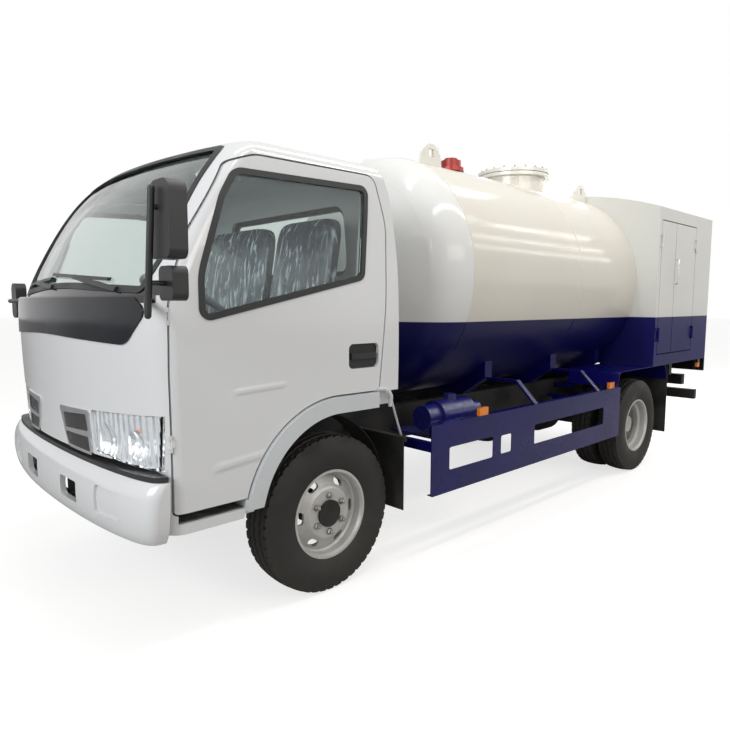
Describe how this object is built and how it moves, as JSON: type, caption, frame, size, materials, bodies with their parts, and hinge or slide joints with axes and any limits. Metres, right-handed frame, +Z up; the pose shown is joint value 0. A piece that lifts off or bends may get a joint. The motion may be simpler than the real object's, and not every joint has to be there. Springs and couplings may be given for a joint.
{
  "type": "tanker truck",
  "caption": "Forward-control tanker truck with a cylindrical pressure tank, rear equipment cabinet, side guards, dual rear wheels and a tilting cab.",
  "frame": {"origin": "On the ground, midway between front and rear ends and between the sides.", "axes": "+X forward, +Y to the left of the driver, +Z up."},
  "size_m": [5.8016, 2.258, 2.57],
  "materials": {
    "cab_white": "gloss white paint",
    "cream_paint": "gloss cream paint",
    "two_tone_body": "gloss cream paint over navy blue",
    "navy_paint": "gloss navy blue paint",
    "red_paint": "gloss red paint",
    "chassis_black": "satin black paint",
    "dark_metal": "worn tread plate",
    "wheel_silver": "silver wheel paint",
    "tyre": "black tyre rubber",
    "black_rubber": "satin black rubber",
    "black_plastic": "grained black plastic",
    "gloss_black": "gloss black",
    "grey_plastic": "dark grey grained plastic",
    "seat_cover": "grey cloth under clear wrap",
    "clear_glass": "clear tinted safety glass",
    "lamp_clear": "clear lamp lens over chrome bowls",
    "bright_metal": "bright plated metal",
    "amber_lamp": "amber lens"
  },
  "bodies": {
    "chassis": {"bumper": "cab_white", "bumper_strip": "chassis_black", "cabinet": "two_tone_body", "engine": "chassis_black", "frame": "chassis_black", "front_axle": "chassis_black", "fuel_tank": "chassis_black", "lamp_bar": "chassis_black", "manhole": "cream_paint", "marker_lamps": "amber_lamp", "mudguards": "chassis_black", "propshaft": "chassis_black", "pump": "navy_paint", "rear_axle": "chassis_black", "rear_fenders": "navy_paint", "relief_valve": "red_paint", "side_guards": "navy_paint", "springs": "chassis_black", "tank": "two_tone_body", "tank_lugs": "cream_paint", "tank_saddles": "navy_paint", "underrun_bar": "chassis_black"},
    "cab": {"cab_shell": "cab_white", "windscreen": "clear_glass", "window_seals": "black_rubber", "rear_window": "clear_glass", "front_panel": "gloss_black", "grille": "black_plastic", "grille_surrounds": "bright_metal", "headlamps": "lamp_clear", "wipers": "black_plastic", "mirrors": "black_plastic", "arch_flares": "cab_white", "steps": "dark_metal", "seats": "seat_cover", "dashboard": "grey_plastic"},
    "steering_wheel": {"steering_wheel": "grey_plastic"},
    "door_left": {"door_left": "cab_white", "door_seal_left": "black_rubber", "door_glass_left": "clear_glass"},
    "knuckle_left": {"knuckle_left": "chassis_black"},
    "wheel_front_left": {"tyre_front_left": "tyre", "rim_front_left": "wheel_silver", "hub_front_left": "chassis_black"},
    "wheels_rear_left": {"tyres_rear_left": "tyre", "rims_rear_left": "wheel_silver"},
    "cabinet_door_left_front": {"cabinet_door_left_front": "two_tone_body"},
    "cabinet_door_left_rear": {"cabinet_door_left_rear": "two_tone_body"},
    "door_right": {"door_right": "cab_white", "door_seal_right": "black_rubber", "door_glass_right": "clear_glass"},
    "knuckle_right": {"knuckle_right": "chassis_black"},
    "wheel_front_right": {"tyre_front_right": "tyre", "rim_front_right": "wheel_silver", "hub_front_right": "chassis_black"},
    "wheels_rear_right": {"tyres_rear_right": "tyre", "rims_rear_right": "wheel_silver"},
    "cabinet_door_right_front": {"cabinet_door_right_front": "two_tone_body"},
    "cabinet_door_right_rear": {"cabinet_door_right_rear": "two_tone_body"},
    "tie_rod": {"tie_rod": "chassis_black"}
  },
  "joints": [
    {"name": "cab_tilt", "type": "hinge", "parent": "chassis", "child": "cab", "pos_m": [2.815, 0, 0.862], "axis": [0, 1, 0], "range_deg": [0, 45]},
    {"name": "steering_wheel_turn", "type": "hinge", "parent": "cab", "child": "steering_wheel", "pos_m": [2.4, 0.43, 1.42], "axis": [-0.5, 0, 0.866], "range_deg": [-400, 400]},
    {"name": "door_left_hinge", "type": "hinge", "parent": "cab", "child": "door_left", "pos_m": [2.713, 0.897, 1.2], "axis": [0, 0, 1], "range_deg": [-68, 0]},
    {"name": "steer_left", "type": "hinge", "parent": "chassis", "child": "knuckle_left", "pos_m": [1.87, 0.62, 0.39], "axis": [0, 0, 1], "range_deg": [-32, 32]},
    {"name": "wheel_front_left_spin", "type": "hinge", "parent": "knuckle_left", "child": "wheel_front_left", "pos_m": [1.87, 0.74, 0.39], "axis": [0, 1, 0], "continuous": true},
    {"name": "wheels_rear_left_spin", "type": "hinge", "parent": "chassis", "child": "wheels_rear_left", "pos_m": [-1.43, 0.7245, 0.39], "axis": [0, 1, 0], "continuous": true},
    {"name": "cabinet_door_left_front_hinge", "type": "hinge", "parent": "chassis", "child": "cabinet_door_left_front", "pos_m": [-1.65, 0.979, 1.55], "axis": [0, 0, 1], "range_deg": [-110, 0]},
    {"name": "cabinet_door_left_rear_hinge", "type": "hinge", "parent": "chassis", "child": "cabinet_door_left_rear", "pos_m": [-2.444, 0.979, 1.55], "axis": [0, 0, 1], "range_deg": [0, 110]},
    {"name": "door_right_hinge", "type": "hinge", "parent": "cab", "child": "door_right", "pos_m": [2.713, -0.897, 1.2], "axis": [0, 0, 1], "range_deg": [0, 68]},
    {"name": "steer_right", "type": "hinge", "parent": "chassis", "child": "knuckle_right", "pos_m": [1.87, -0.62, 0.39], "axis": [0, 0, 1], "range_deg": [-32, 32]},
    {"name": "wheel_front_right_spin", "type": "hinge", "parent": "knuckle_right", "child": "wheel_front_right", "pos_m": [1.87, -0.74, 0.39], "axis": [0, 1, 0], "continuous": true},
    {"name": "wheels_rear_right_spin", "type": "hinge", "parent": "chassis", "child": "wheels_rear_right", "pos_m": [-1.43, -0.7245, 0.39], "axis": [0, 1, 0], "continuous": true},
    {"name": "cabinet_door_right_front_hinge", "type": "hinge", "parent": "chassis", "child": "cabinet_door_right_front", "pos_m": [-1.65, -0.979, 1.55], "axis": [0, 0, 1], "range_deg": [0, 110]},
    {"name": "cabinet_door_right_rear_hinge", "type": "hinge", "parent": "chassis", "child": "cabinet_door_right_rear", "pos_m": [-2.444, -0.979, 1.55], "axis": [0, 0, 1], "range_deg": [-110, 0]},
    {"name": "tie_rod_turn", "type": "hinge", "parent": "knuckle_left", "child": "tie_rod", "pos_m": [1.68, 0.62, 0.3], "axis": [0, 0, 1], "range_deg": [-32, 32]}
  ],
  "couplings": [
    {"joint": "steer_right", "follows": "steer_left", "ratio": 1},
    {"joint": "tie_rod_turn", "follows": "steer_left", "ratio": -1},
    {"joint": "steering_wheel_turn", "follows": "steer_left", "ratio": 12}
  ]
}
